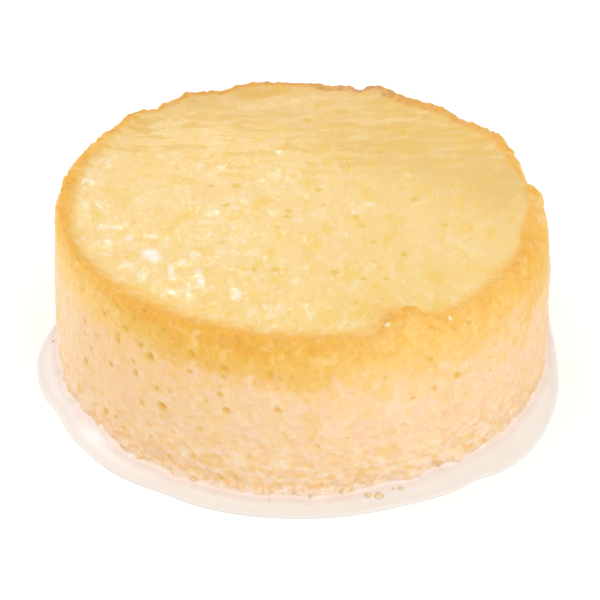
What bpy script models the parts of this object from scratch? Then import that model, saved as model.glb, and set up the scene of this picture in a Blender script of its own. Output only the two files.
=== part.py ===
"""A small round tres leches cake, standing in the pool of milk that has seeped out of it.

Units are metres and +Z is up. The origin is the centre of the cake's underside, on the surface
that the cake stands on. -Y is the front of the cake, and azimuths run from +X towards +Y.
"""

import math

import bmesh
import bpy
from mathutils import Vector, noise

MM = 0.001

# Cake: the radii and heights of its upright section
SHOULDER_RADIUS = 49.8 * MM  # outermost radius under the rim
SHOULDER_HEIGHT = 30.5 * MM
WAIST_RADIUS = 49.6 * MM
WAIST_HEIGHT = 17.0 * MM
BASE_RADIUS = 50.6 * MM
CREST_RADIUS = 48.0 * MM  # top line of the browned rim
CREST_HEIGHT = 35.4 * MM
CREST_SHIFT = 0.6 * MM  # the rim sits this far towards -X of the wall
CREST_TILT = 0.4 * MM  # and this much higher there
LEAN_SHARE = 0.35  # how much of the rim's inward lean the top of the wall follows
RIM_FOOT_RADIUS = 44.2 * MM  # where the rim's inner face runs out onto the top
TOP_HEIGHT = 33.9 * MM
DISH_DEPTH = 0.9 * MM  # how far the middle of the top has sunk

# Cake: unevenness, as the most that each kind moves the surface
OUTLINE_WANDER = 0.45 * MM
OUTLINE_LOBES = 1.1
CREST_RIPPLE = 0.35 * MM
CREST_RIPPLE_LENGTH = 4.5 * MM
TOP_SWELL = 0.75 * MM
TOP_SWELL_LENGTH = 17.0 * MM
TOP_LUMP = 0.22 * MM
TOP_LUMP_LENGTH = 5.5 * MM
SIDE_LUMP = 0.40 * MM
SIDE_LUMP_LENGTH = 7.0 * MM
BASE_CRUMBLE = 0.75 * MM  # the ragged foot, on top of the side's own lumps
BASE_CRUMBLE_LENGTH = 4.2 * MM
BASE_CRUMBLE_TOP = 6.0 * MM

# Crags and notches of the rim: azimuth and half width in degrees, rise and inward lean in metres
RIM_CRAGS = (
    (-64.5, 3.8, 2.7 * MM, 3.0 * MM),
    (-72.5, 4.0, -0.3 * MM, -0.6 * MM),
    (-55.0, 5.0, -0.9 * MM, 0.2 * MM),
    (-14.0, 5.0, -0.6 * MM, 0.9 * MM),
    (10.0, 6.5, -1.0 * MM, 1.0 * MM),
    (31.5, 3.5, 0.5 * MM, -0.4 * MM),
    (43.0, 3.0, -0.3 * MM, 0.4 * MM),
    (69.5, 3.5, 1.2 * MM, 0.0),
    (75.0, 2.0, -0.9 * MM, 0.3 * MM),
    (103.0, 6.0, 0.6 * MM, 0.0),
    (113.5, 2.5, -0.6 * MM, 0.2 * MM),
    (120.5, 3.5, 0.8 * MM, 0.0),
    (137.5, 5.0, 0.9 * MM, -0.3 * MM),
    (-134.0, 6.0, -0.5 * MM, -0.6 * MM),
    (-112.0, 9.0, 0.4 * MM, 0.5 * MM),
)

# Milk pool: its reach beyond the cake and its edge
POOL_LEVEL = 1.2 * MM
POOL_CREEP = 0.7 * MM  # how much higher the milk stands against the cake
POOL_MEAN_RADIUS = 54.4 * MM
POOL_FORWARD = 2.4 * MM  # the pool has run further to the front
POOL_ASIDE = 0.4 * MM
POOL_WANDER = 0.9 * MM
POOL_LOBES = 1.7
POOL_LEAST_REACH = 1.4 * MM
POOL_EDGE_WIDTH = 1.9 * MM
POOL_GAP = 0.3 * MM  # between the milk's solid and the cake's
# Lobes and bays of the pool's shore: azimuth and half width in degrees, reach in metres
SHORE_LOBES = (
    (-168.0, 17.0, 1.2 * MM),
    (-153.0, 6.0, -0.9 * MM),
    (-131.0, 6.0, 0.5 * MM),
    (-118.0, 5.0, -0.4 * MM),
    (-70.0, 9.0, -0.6 * MM),
    (-53.5, 3.5, -0.8 * MM),
    (-42.0, 11.0, 1.3 * MM),
    (-4.0, 16.0, -1.7 * MM),
    (170.0, 9.0, -1.4 * MM),
    (90.0, 50.0, -0.4 * MM),
)

# Mesh density
AROUND = 160
SIDE_STEP = 2.5 * MM
TOP_STEP = 2.3 * MM
STRAIGHT_FOOT = 2.4 * MM  # the foot stays upright here, so that the milk fits round it

COLOURS = {
    "sponge": ((0.91, 0.62, 0.25, 1.0), 0.55),
    "milk": ((0.93, 0.83, 0.70, 1.0), 0.18),
}


def smooth_step(value, low, high):
    """0 below low, 1 above high, and an S curve between them."""
    share = min(max((value - low) / (high - low), 0.0), 1.0)
    return share * share * (3.0 - 2.0 * share)


def bump(azimuth, centre, half_width):
    """A round bump of height 1 about an azimuth, in degrees."""
    away = (azimuth - centre + 180.0) % 360.0 - 180.0
    return math.exp(-((away / half_width) ** 2))


def ring_noise(azimuth, lobes, layer):
    """Smooth noise that closes on itself round the cake."""
    angle = math.radians(azimuth)
    return noise.noise(Vector((lobes * math.cos(angle), lobes * math.sin(angle), layer)))


def lumps(point, length, layer):
    """Noise in space whose lumps are about as long as given."""
    return noise.noise(point / length + Vector((0.0, 0.0, layer)))


def on_ring(azimuth, radius, height):
    angle = math.radians(azimuth)
    return Vector((radius * math.cos(angle), radius * math.sin(angle), height))


def outline(azimuth):
    """How far the cake is out of round at an azimuth."""
    return OUTLINE_WANDER * ring_noise(azimuth, OUTLINE_LOBES, 3.1)


def crest(azimuth):
    """The rim's top line: its rise and its inward lean at an azimuth."""
    across = math.cos(math.radians(azimuth))
    ripple = CREST_RIPPLE * lumps(on_ring(azimuth, CREST_RADIUS, 0.0), CREST_RIPPLE_LENGTH, 8.0)
    rise = ripple - CREST_TILT * across
    lean = CREST_SHIFT * across
    for centre, half_width, crag_rise, crag_lean in RIM_CRAGS:
        share = bump(azimuth, centre, half_width)
        rise += crag_rise * share
        lean += crag_lean * share
    return rise, lean


def side_radius(azimuth, height):
    """Radius of the upright wall below the shoulder, before its lumps."""
    if height < WAIST_HEIGHT:
        share = smooth_step(height, 0.0, WAIST_HEIGHT)
        plain = BASE_RADIUS + (WAIST_RADIUS - BASE_RADIUS) * share
    else:
        share = smooth_step(height, WAIST_HEIGHT, SHOULDER_HEIGHT)
        top = SHOULDER_RADIUS - LEAN_SHARE * max(crest(azimuth)[1], 0.0)
        plain = WAIST_RADIUS + (top - WAIST_RADIUS) * share
    return plain + outline(azimuth)


def side_relief(azimuth, height):
    """Lumps of the crumb on the wall, rougher towards the foot."""
    height = max(height, STRAIGHT_FOOT)
    point = on_ring(azimuth, SHOULDER_RADIUS, height)
    roughness = 1.0 - 0.55 * smooth_step(height, WAIST_HEIGHT, SHOULDER_HEIGHT)
    relief = SIDE_LUMP * roughness * lumps(point, SIDE_LUMP_LENGTH, 1.0)
    crumble = 1.0 - smooth_step(height, STRAIGHT_FOOT, BASE_CRUMBLE_TOP)
    return relief + BASE_CRUMBLE * crumble * lumps(point, BASE_CRUMBLE_LENGTH, 5.0)


def wall_point(azimuth, height):
    return on_ring(azimuth, side_radius(azimuth, height) + side_relief(azimuth, height), height)


def shoulder_point(azimuth, share):
    """The rounding from the wall (share 0) up to the rim's crest (share 1)."""
    rise, lean = crest(azimuth)
    wall = wall_point(azimuth, SHOULDER_HEIGHT)
    wall_radius = math.hypot(wall.x, wall.y)
    crest_radius = CREST_RADIUS - lean + outline(azimuth)
    crest_height = CREST_HEIGHT + rise
    turn = share * math.pi / 2.0
    radius = crest_radius + (wall_radius - crest_radius) * math.cos(turn) ** 0.9
    height = SHOULDER_HEIGHT + (crest_height - SHOULDER_HEIGHT) * math.sin(turn)
    return on_ring(azimuth, radius, height)


def top_height(point):
    """Height of the sunken, uneven top at a point seen from above."""
    flat = Vector((point.x, point.y, 0.0))
    dish = DISH_DEPTH * (1.0 - (flat.length / RIM_FOOT_RADIUS) ** 2)
    swell = TOP_SWELL * lumps(flat, TOP_SWELL_LENGTH, 2.4)
    return TOP_HEIGHT - dish + swell + TOP_LUMP * lumps(flat, TOP_LUMP_LENGTH, 6.2)


def rim_inside_point(azimuth, share):
    """The rim's inner face, from the crest (share 0) down to the top (share 1)."""
    rise, lean = crest(azimuth)
    crest_radius = CREST_RADIUS - lean + outline(azimuth)
    foot_radius = RIM_FOOT_RADIUS - 0.8 * lean + outline(azimuth)
    radius = crest_radius + (foot_radius - crest_radius) * share
    foot = on_ring(azimuth, foot_radius, 0.0)
    fall = smooth_step(share, -0.25, 1.0) - smooth_step(0.0, -0.25, 1.0) * (1.0 - share)
    height = CREST_HEIGHT + rise + (top_height(foot) - CREST_HEIGHT - rise) * fall
    return on_ring(azimuth, radius, height)


def azimuths(count):
    return [360.0 * i / count for i in range(count)]


def cake_rings():
    """The cake's rings of points, from its underside up and over to the last one round the middle."""
    turns = azimuths(AROUND)
    wall_rows = round(SHOULDER_HEIGHT / SIDE_STEP)
    rows = [0.0, STRAIGHT_FOOT / 2.0, STRAIGHT_FOOT]
    rows += [
        STRAIGHT_FOOT + (SHOULDER_HEIGHT - STRAIGHT_FOOT) * i / wall_rows
        for i in range(1, wall_rows + 1)
    ]
    rings = [[wall_point(a, height) for a in turns] for height in rows]
    for share in (0.25, 0.5, 0.75, 1.0):
        rings.append([shoulder_point(a, share) for a in turns])
    for share in (0.3, 0.65, 1.0):
        rings.append([rim_inside_point(a, share) for a in turns])
    top_rows = round(RIM_FOOT_RADIUS / TOP_STEP)
    for i in range(top_rows - 1, 0, -1):
        share = i / top_rows
        count = max(6, round(2.0 * math.pi * RIM_FOOT_RADIUS * share / TOP_STEP))
        ring = []
        for a in azimuths(min(count, AROUND)):
            foot = rim_inside_point(a, 1.0)
            point = Vector((foot.x * share, foot.y * share, 0.0))
            point.z = top_height(point)
            ring.append(point)
        rings.append(ring)
    return rings


def stitch(mesh, lower, upper):
    """Joins two closed rings of vertices, which may differ in number, with triangles."""
    i = j = 0
    while i < len(lower) or j < len(upper):
        a, b = lower[i % len(lower)], upper[j % len(upper)]
        step_lower = (i + 1) * len(upper) <= (j + 1) * len(lower)
        if step_lower and i < len(lower):
            i += 1
            mesh.faces.new((a, lower[i % len(lower)], b))
        else:
            j += 1
            mesh.faces.new((a, upper[j % len(upper)], b))


def finish_node(name, mesh, material):
    """Turns the bmesh into a smooth-shaded object with its material."""
    bmesh.ops.recalc_face_normals(mesh, faces=mesh.faces)
    data = bpy.data.meshes.new(name)
    mesh.to_mesh(data)
    mesh.free()
    data.shade_smooth()
    data.set_sharp_from_angle(angle=math.radians(60.0))
    data.materials.append(material)
    node = bpy.data.objects.new(name, data)
    bpy.context.scene.collection.objects.link(node)
    return node


def make_cake(material):
    mesh = bmesh.new()
    rings = [[mesh.verts.new(point) for point in ring] for ring in cake_rings()]
    mesh.faces.new(rings[0][::-1])
    for lower, upper in zip(rings, rings[1:]):
        stitch(mesh, lower, upper)
    middle = mesh.verts.new((0.0, 0.0, top_height(Vector((0.0, 0.0, 0.0)))))
    last = rings[-1]
    for i, vertex in enumerate(last):
        mesh.faces.new((vertex, last[(i + 1) % len(last)], middle))
    return finish_node("sponge_cake", mesh, material)


def shore(azimuth):
    """Outer radius of the milk pool at an azimuth."""
    angle = math.radians(azimuth)
    run = POOL_ASIDE * math.cos(angle) - POOL_FORWARD * math.sin(angle)
    radius = POOL_MEAN_RADIUS + run + POOL_WANDER * ring_noise(azimuth, POOL_LOBES, 7.7)
    for centre, half_width, reach in SHORE_LOBES:
        radius += reach * bump(azimuth, centre, half_width)
    foot = side_radius(azimuth, 0.0) + side_relief(azimuth, 0.0)
    return max(radius, foot + POOL_LEAST_REACH)


def pool_section(azimuth):
    """The pool's cross-section at an azimuth, from its inner foot out over the top to its shore."""
    foot = side_radius(azimuth, 0.0) + side_relief(azimuth, 0.0) + POOL_GAP
    edge = shore(azimuth)
    width = min(POOL_EDGE_WIDTH, 0.8 * (edge - foot))
    section = [(foot, 0.0), (foot, POOL_LEVEL + POOL_CREEP)]
    section.append((foot + 0.35 * (edge - width - foot), POOL_LEVEL + 0.2 * POOL_CREEP))
    for turn in (90.0, 60.0, 35.0, 15.0, 0.0):
        out = edge - width * (1.0 - math.cos(math.radians(turn)))
        section.append((out, POOL_LEVEL * math.sin(math.radians(turn))))
    return [on_ring(azimuth, radius, height) for radius, height in section]


def make_pool(material):
    mesh = bmesh.new()
    sections = [[mesh.verts.new(p) for p in pool_section(a)] for a in azimuths(AROUND)]
    for i, here in enumerate(sections):
        there = sections[(i + 1) % AROUND]
        for j in range(len(here)):
            k = (j + 1) % len(here)
            mesh.faces.new((here[j], here[k], there[k], there[j]))
    return finish_node("milk_pool", mesh, material)


def make_material(name):
    colour, roughness = COLOURS[name]
    material = bpy.data.materials.new(name)
    material.use_nodes = True
    shader = material.node_tree.nodes["Principled BSDF"]
    shader.inputs["Base Color"].default_value = colour
    shader.inputs["Roughness"].default_value = roughness
    shader.inputs["Metallic"].default_value = 0.0
    return material


def main():
    for item in list(bpy.data.objects):
        bpy.data.objects.remove(item)
    make_cake(make_material("sponge"))
    make_pool(make_material("milk"))


main()
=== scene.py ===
import math
import random

import bmesh
import bpy
import numpy
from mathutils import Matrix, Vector, noise


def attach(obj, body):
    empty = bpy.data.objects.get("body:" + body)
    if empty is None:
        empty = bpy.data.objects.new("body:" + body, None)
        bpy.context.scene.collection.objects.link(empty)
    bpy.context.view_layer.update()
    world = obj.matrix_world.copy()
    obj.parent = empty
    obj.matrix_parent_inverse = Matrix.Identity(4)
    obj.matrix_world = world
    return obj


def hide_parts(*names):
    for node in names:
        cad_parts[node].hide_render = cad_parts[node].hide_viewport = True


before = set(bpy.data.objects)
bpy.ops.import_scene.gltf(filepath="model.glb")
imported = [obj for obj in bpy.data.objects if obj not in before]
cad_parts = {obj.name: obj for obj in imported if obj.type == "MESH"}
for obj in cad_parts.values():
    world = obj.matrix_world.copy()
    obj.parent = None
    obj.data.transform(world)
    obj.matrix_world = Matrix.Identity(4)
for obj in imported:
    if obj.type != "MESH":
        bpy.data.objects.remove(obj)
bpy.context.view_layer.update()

mm = 0.001


def linear(red, green, blue):  # a painter's colour, 0 to 255, to what the shaders take
    def one(value):
        value /= 255.0
        return value / 12.92 if value <= 0.04045 else ((value + 0.055) / 1.055) ** 2.4
    return (one(red), one(green), one(blue), 1.0)


def seenAs(red, green, blue, light=1.17, gloss=0.02):  # the colour that looks like this one under the studio's light
    look = linear(red, green, blue)
    return tuple(min(max((value - gloss) / light, 0.01), 1.0) for value in look[:3]) + (1.0,)


def easeStep(value, low, high):
    share = min(max((value - low) / (high - low), 0.0), 1.0)
    return share * share * (3.0 - 2.0 * share)


def bulge(azimuth, centre, halfWidth):  # 1 at the centre, less on both sides, for a number or an array
    away = (azimuth - centre + 180.0) % 360.0 - 180.0
    return math.e ** -((away / halfWidth) ** 2)


def swell(azimuth, turns):  # what a table of azimuth, half width and amount adds up to
    return sum(amount * bulge(azimuth, centre, halfWidth) for centre, halfWidth, amount in turns)


def lumpNoise(point, length, layer):
    return noise.noise(point / length + Vector((0.0, 0.0, layer)))


def onRing(azimuth, radius, height):
    angle = math.radians(azimuth)
    return Vector((radius * math.cos(angle), radius * math.sin(angle), height))


def allRound(count):
    return [360.0 * i / count for i in range(count)]


def placeMesh(name, points, faces):
    mesh = bpy.data.meshes.new(name)
    mesh.from_pydata([tuple(p) for p in points], [], faces)
    mesh.update()
    piece = bpy.data.objects.new(name, mesh)
    bpy.context.scene.collection.objects.link(piece)
    return piece


def storeValues(piece, **layers):  # one number for each vertex, read by the trees and the materials
    for name, values in layers.items():
        layer = piece.data.attributes.new(name, "FLOAT", "POINT")
        layer.data.foreach_set("value", numpy.array(values, dtype=numpy.float32))


class NodeKit:  # short ways to add nodes to one tree
    def __init__(self, tree):
        self.tree = tree
        self.solid = tree.type == "GEOMETRY"
        if self.solid:
            self.place = self.add("GeometryNodeInputPosition").outputs[0]
        else:
            self.place = self.add("ShaderNodeTexCoord").outputs["Object"]
        self.spot = self.add("ShaderNodeSeparateXYZ", {0: self.place}).outputs

    def fill(self, node, inputs):
        for name, value in inputs.items():
            if isinstance(value, bpy.types.NodeSocket):
                self.tree.links.new(value, node.inputs[name])
            else:
                node.inputs[name].default_value = value

    def add(self, kind, inputs=None, **settings):
        node = self.tree.nodes.new(kind)
        for name, value in settings.items():
            setattr(node, name, value)
        self.fill(node, inputs or {})
        return node

    def read(self, name):  # a value stored at the vertices
        if self.solid:
            return self.add("GeometryNodeInputNamedAttribute", {"Name": name}, data_type="FLOAT").outputs[0]
        return self.add("ShaderNodeAttribute", attribute_name=name).outputs["Fac"]

    def store(self, geometry, name, value):
        inputs = {"Geometry": geometry, "Name": name, "Value": value}
        return self.add("GeometryNodeStoreNamedAttribute", inputs, data_type="FLOAT", domain="POINT").outputs[0]

    def math(self, operation, *values):
        return self.add("ShaderNodeMath", dict(enumerate(values)), operation=operation).outputs[0]

    def times(self, first, *others):
        for other in others:
            first = self.math("MULTIPLY", first, other)
        return first

    def plus(self, first, *others):
        for other in others:
            first = self.math("ADD", first, other)
        return first

    def minus(self, a, b):
        return self.math("SUBTRACT", a, b)

    def about(self, field, amount):  # a noise field turned to swing round zero
        return self.times(self.minus(field, 0.5), amount)

    def fit(self, value, low, high, start=0.0, end=1.0, kind="SMOOTHSTEP"):
        inputs = {"Value": value, "From Min": low, "From Max": high, "To Min": start, "To Max": end}
        return self.add("ShaderNodeMapRange", inputs, interpolation_type=kind).outputs[0]

    def vector(self, operation, a, b=None, scale=None):
        inputs = {0: a, 1: b} if scale is None else {0: a, "Scale": scale}
        node = self.add("ShaderNodeVectorMath", inputs, operation=operation)
        return node.outputs["Value" if operation == "DISTANCE" else 0]

    def stretch(self, x, y, z):  # places for a pattern drawn out or pressed flat
        return self.add("ShaderNodeMapping", {"Vector": self.place, "Scale": (x, y, z)}).outputs[0]

    def scaleFor(self, length):
        return 1.0 / length if isinstance(length, float) else self.math("DIVIDE", 1.0, length)

    def speckle(self, length, detail=2.0, roughness=0.5, at=None, output=0):
        return self.add("ShaderNodeTexNoise", {
            "Vector": self.place if at is None else at, "Scale": self.scaleFor(length),
            "Detail": detail, "Roughness": roughness,
        }).outputs[output]

    def mix(self, share, a, b):
        return self.add("ShaderNodeMix", {0: share, 6: a, 7: b}, data_type="RGBA").outputs[2]

    def mottle(self, under, field, low, high, amount, colour):  # a colour where a field rises from low to high
        return self.mix(self.fit(field, low, high, 0.0, amount), under, colour)

    def ramp(self, factor, stops, kind="LINEAR"):
        node = self.add("ShaderNodeValToRGB", {"Fac": factor})
        node.color_ramp.interpolation = kind
        elements = node.color_ramp.elements
        for i, (position, colour) in enumerate(stops):
            element = elements[i] if i < 2 else elements.new(position)
            element.position, element.color = position, colour
        return node.outputs["Color"]

    def bump(self, height, distance, strength):
        return self.add("ShaderNodeBump", {"Height": height, "Distance": distance, "Strength": strength}).outputs[0]


def newTree(name, values):  # a geometry tree with a named input for each value
    tree = bpy.data.node_groups.new(name, "GeometryNodeTree")
    tree.interface.new_socket("Geometry", in_out="INPUT", socket_type="NodeSocketGeometry")
    for inputName, value in values.items():
        kind = "NodeSocketInt" if isinstance(value, int) else "NodeSocketFloat"
        tree.interface.new_socket(inputName, in_out="INPUT", socket_type=kind)
    tree.interface.new_socket("Geometry", in_out="OUTPUT", socket_type="NodeSocketGeometry")
    kit = NodeKit(tree)
    return kit, kit.add("NodeGroupInput").outputs


def closeTree(kit, geometry, material):
    real = kit.add("GeometryNodeRealizeInstances", {0: geometry}).outputs[0]
    painted = kit.add("GeometryNodeSetMaterial", {"Geometry": real, "Material": material}).outputs[0]
    kit.add("NodeGroupOutput", {0: painted})
    return kit.tree


def runTree(piece, tree, values):  # runs a node tree on a piece and keeps its result as a plain mesh
    modifier = piece.modifiers.new(tree.name, "NODES")
    modifier.node_group = tree
    for item in tree.interface.items_tree:
        if item.item_type == "SOCKET" and item.in_out == "INPUT" and item.name in values:
            modifier[item.identifier] = values[item.name]
    graph = bpy.context.evaluated_depsgraph_get()
    graph.update()
    mesh = bpy.data.meshes.new_from_object(piece.evaluated_get(graph), preserve_all_data_layers=True, depsgraph=graph)
    piece.modifiers.remove(modifier)
    old = piece.data
    piece.data = mesh
    mesh.name = piece.name
    bpy.data.meshes.remove(old)
    piece.data.shade_smooth()


def newMaterial(name):
    material = bpy.data.materials.new(name)
    material.use_nodes = True
    return material, NodeKit(material.node_tree), material.node_tree.nodes["Principled BSDF"]


cake = {
    "around": 640,  # vertices round the side
    "wallRows": 62,
    "shoulderRows": 13,
    "rimRows": 9,
    "topStep": 0.48 * mm,
    "shoulderRadius": 49.6 * mm,
    "shoulderHeight": 29.3 * mm,
    "shoulderBend": 1.2,
    "bendAside": 0.3,  # the shoulder rounds off more on the right
    "shoulderAside": 0.98 * mm,
    "waistRadius": 50.0 * mm,
    "waistAside": 0.35 * mm,  # it bulges a little on both sides
    "waistHeight": 18.0 * mm,
    "baseRadius": 50.6 * mm,
    "crestRadius": 48.0 * mm,
    "crestHeight": 35.4 * mm,
    "crestShift": 0.6 * mm,
    "crestTilt": 0.4 * mm,
    "leanShare": 0.35,  # share of a crag's lean that the shoulder takes up
    "outOfRound": 0.45 * mm,
    "lumpRadius": 49.8 * mm,
    "rimFootRadius": 44.2 * mm,
    "rimFootLean": 0.8,
    "topHeight": 33.9 * mm,
    "dishDepth": 0.9 * mm,
    "footHeight": 2.4 * mm,
    "crumbleHeight": 6.0 * mm,
    "footFlare": 0.7 * mm,  # crumbs shed round the foot
    "flareHeight": 3.2 * mm,
    # depth and length of the uneven places
    "crestRipple": (0.35 * mm, 4.5 * mm),
    "sideLumps": (0.40 * mm, 7.0 * mm),
    "footLumps": (0.75 * mm, 4.2 * mm),
    "topSwells": (0.75 * mm, 17.0 * mm),
    "topWaves": (0.22 * mm, 5.5 * mm),
    # tables: azimuth and half width in degrees, then how much more, in mm for a length
    "flareTurns": (
        (-156, 18, -0.9), (-141, 4.5, -0.5), (-56, 17, -0.9), (-15, 16, -0.7), (-110, 20, 0.6), (-83, 6, 0.4),
        (50, 60, -0.6),
    ),
    # crags and notches of the rim: azimuth, half width, rise and inward lean in mm
    "crags": (
        (-64.5, 3.8, 2.7, 3), (-69.8, 2.4, 0.9, 1.3), (-75.5, 4, -0.3, -0.6), (-55, 5, -0.9, 0.2),
        (-14, 5, -0.6, 0.9), (8.4, 1.1, 0.5, -2.3), (13.5, 7, -1, 2.35), (15, 4.5, 0, 1.8), (20, 2.5, 0, 0.5),
        (0, 12, -0.2, 2.6), (31.5, 3.5, 0.6, -0.5), (45.5, 2.5, -0.4, 0.2), (59.5, 3, -0.3, 0.1),
        (43, 3, -0.3, 0.4), (69.5, 3.5, 1.2, 0), (75, 2, -0.9, 0.3), (83, 4, -0.5, 0), (90, 60, -0.3, 0.1),
        (103, 6, 0.5, 0), (112, 1.6, -0.5, 0.1), (121, 3, 1.2, 0), (131, 2.6, -0.6, 0.2), (137.5, 5, 0.9, -0.3),
        (-134, 6, -0.5, -0.6), (-112, 9, 0.4, 0.5),
    ),
    # where the golden band of the side gives way to the pale crumb
    "goldLine": 22.5 * mm,
    "goldClimb": 0.75,
    "goldLineTurns": (
        (-160, 20, 2.5), (-106, 14, 2.5), (-64, 7, -2.5), (-30, 18, -3.5), (30, 30, -2), (110, 35, 2),
    ),
    # how deep the golden band has baked, and the crest; low on the side the same share paints light and shade round
    # the cake
    "bandBakeAndShade": 0.50,
    "bandBakeAndShadeTurns": (
        (-107, 30, 0.5), (-160, 18, -0.6), (-138, 9, -0.2), (-70, 13, -0.3), (-20, 16, 0.45), (110, 40, 0.15),
    ),
    "crestBake": 0.65,
    "crestBakeTurns": (
        (-125, 28, 0.38), (-66, 16, -0.42), (-16, 12, 0.2), (-38, 9, -0.25), (118, 18, 0.3), (60, 14, 0.25),
        (-88, 18, 0.3), (0, 8, -0.55), (82, 8, 0.3), (178, 14, 0.12), (147, 14, -0.3),
    ),
    # how far in from the crest the crust reaches over the top
    "crustReach": 2.0 * mm,
    "crustReachTurns": (
        (-105, 50, 2.4), (-30, 35, 1), (-66, 6, 3), (-135, 8, 0.9), (128, 34, -1.15), (75, 28, -0.8), (3, 20, -1.9),
        (175, 14, 0.8),
    ),
    "topSpillTurns": ((14, 6, 2.6), (0, 7, 0.9)),  # where the wet top runs out over the crest
    # toasted places: azimuth, mm in from the crest, half width in degrees, half width in mm, strength
    "toast": (
        (-126, 0.8, 11.5, 3.6, 1), (-65, -0.3, 3.2, 1.3, 1), (-68.8, 0.4, 2.4, 1.4, 1.1),
        (-71.4, 0.4, 1.8, 1.3, 0.9), (-60.8, -1.6, 1.9, 1.3, 0.9), (-17, 0.8, 2.2, 1.2, 1.2),
        (-23.5, 0.8, 2.4, 1.2, 1.3), (-28.5, 0.9, 2.6, 1.2, 1.1), (-104, -2.3, 11, 2.2, 0.9),
        (118, 0.5, 12, 1.2, 0.6), (60, 1.2, 14, 2, 0.9), (-45, 0.6, 6, 1.2, 0.3), (-152, 0.6, 8, 1.2, 0.5),
        (170, 0.4, 14, 1, 0.5), (82, 1.2, 8, 1.8, 0.9), (7.5, -1, 2.6, 2, 0.8),
    ),
}


def rightShare(azimuth):  # 1 on the right, gone a quarter turn away
    return max(math.cos(math.radians(azimuth)), 0.0) ** 4


def crestAt(azimuth):
    across = math.cos(math.radians(azimuth))
    depth, length = cake["crestRipple"]
    rise = depth * lumpNoise(onRing(azimuth, cake["crestRadius"], 0.0), length, 8.0) - cake["crestTilt"] * across
    lean = cake["crestShift"] * across
    for centre, halfWidth, cragRise, cragLean in cake["crags"]:
        share = bulge(azimuth, centre, halfWidth) * mm
        rise += cragRise * share
        lean += cragLean * share
    return rise, lean


def outOfRound(azimuth):
    return cake["outOfRound"] * noise.noise(onRing(azimuth, 1.1, 3.1))


def sideRadius(azimuth, height, lean):
    waist = cake["waistRadius"] + cake["waistAside"] * math.cos(math.radians(azimuth)) ** 2
    if height < cake["waistHeight"]:
        plain = cake["baseRadius"] + (waist - cake["baseRadius"]) * easeStep(height, 0.0, cake["waistHeight"])
    else:
        top = cake["shoulderRadius"] + cake["shoulderAside"] * rightShare(azimuth)
        top -= cake["leanShare"] * max(lean, 0.0)
        plain = waist + (top - waist) * easeStep(height, cake["waistHeight"], cake["shoulderHeight"])
    flare = cake["footFlare"] + swell(azimuth, cake["flareTurns"]) * mm
    return plain + flare * (1.0 - easeStep(height, 0.0, cake["flareHeight"])) + outOfRound(azimuth)


def sideLumps(azimuth, height):
    height = max(height, cake["footHeight"])
    point = onRing(azimuth, cake["lumpRadius"], height)
    roughness = 1.0 - 0.55 * easeStep(height, cake["waistHeight"], cake["shoulderHeight"])
    crumble = 1.0 - easeStep(height, cake["footHeight"], cake["crumbleHeight"])
    (depth, length), (footDepth, footLength) = cake["sideLumps"], cake["footLumps"]
    return depth * roughness * lumpNoise(point, length, 1.0) + footDepth * crumble * lumpNoise(point, footLength, 5.0)


def wallRadius(azimuth, height, lean):
    return sideRadius(azimuth, height, lean) + sideLumps(azimuth, height)


def shoulderPoint(azimuth, turn, crest, wall):  # on the roll from the wall, at turn 0, to the crest
    rise, lean = crest
    bend = cake["shoulderBend"] + cake["bendAside"] * rightShare(azimuth)
    crestRadius = cake["crestRadius"] - lean + outOfRound(azimuth)
    radius = crestRadius + (wall - crestRadius) * max(math.cos(turn), 0.0) ** bend
    below = (cake["crestHeight"] + rise - cake["shoulderHeight"]) * (1.0 - math.sin(turn))
    return onRing(azimuth, radius, cake["crestHeight"] + rise - below), below


def topHeightAt(x, y):
    flat = Vector((x, y, 0.0))
    dish = cake["dishDepth"] * (1.0 - (flat.length / cake["rimFootRadius"]) ** 2)
    (depth, length), (waveDepth, waveLength) = cake["topSwells"], cake["topWaves"]
    return (cake["topHeight"] - dish + depth * lumpNoise(flat, length, 2.4)
            + waveDepth * lumpNoise(flat, waveLength, 6.2))


def onTop(x, y):
    return Vector((x, y, topHeightAt(x, y)))


def rimFootAt(azimuth, lean):
    return cake["rimFootRadius"] - cake["rimFootLean"] * lean + outOfRound(azimuth)


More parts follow.
